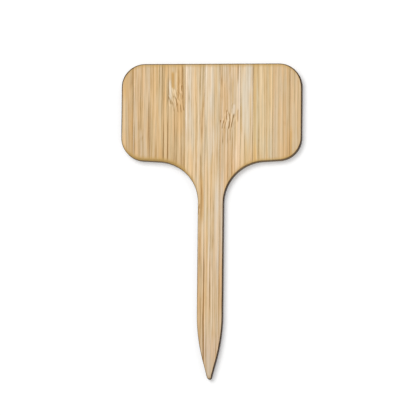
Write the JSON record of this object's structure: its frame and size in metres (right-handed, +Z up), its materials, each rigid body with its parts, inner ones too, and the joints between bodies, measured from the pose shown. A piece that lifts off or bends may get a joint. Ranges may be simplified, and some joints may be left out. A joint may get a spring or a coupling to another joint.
{
  "type": "plant label stake",
  "caption": "Flat T-shaped plant label stake of edge-glued bamboo strips: a wide rounded writing head on a narrow stem that runs down to a point.",
  "frame": {"origin": "the tip of the point, midway through the thickness", "axes": "+Z up the stem, from the point to the top edge of the head; +X across the head to the right; the written face looks along -Y"},
  "size_m": [0.064, 0.003, 0.112],
  "materials": {
    "bamboo_tan": "matte",
    "bamboo_honey": "matte",
    "bamboo_cream": "matte",
    "cured_glue": "satin"
  },
  "bodies": {
    "root": {"bamboo_strip_01": "bamboo_tan", "bamboo_strip_02": "bamboo_tan", "bamboo_strip_03": "bamboo_honey", "bamboo_strip_04": "bamboo_honey", "bamboo_strip_05": "bamboo_tan", "bamboo_strip_06": "bamboo_cream", "bamboo_strip_07": "bamboo_tan", "bamboo_strip_08": "bamboo_cream", "bamboo_strip_09": "bamboo_honey", "bamboo_strip_10": "bamboo_tan", "bamboo_strip_11": "bamboo_tan", "glue_line_01": "cured_glue", "glue_line_02": "cured_glue", "glue_line_03": "cured_glue", "glue_line_04": "cured_glue", "glue_line_05": "cured_glue", "glue_line_06": "cured_glue", "glue_line_07": "cured_glue", "glue_line_08": "cured_glue", "glue_line_09": "cured_glue", "glue_line_10": "cured_glue"}
  },
  "joints": []
}
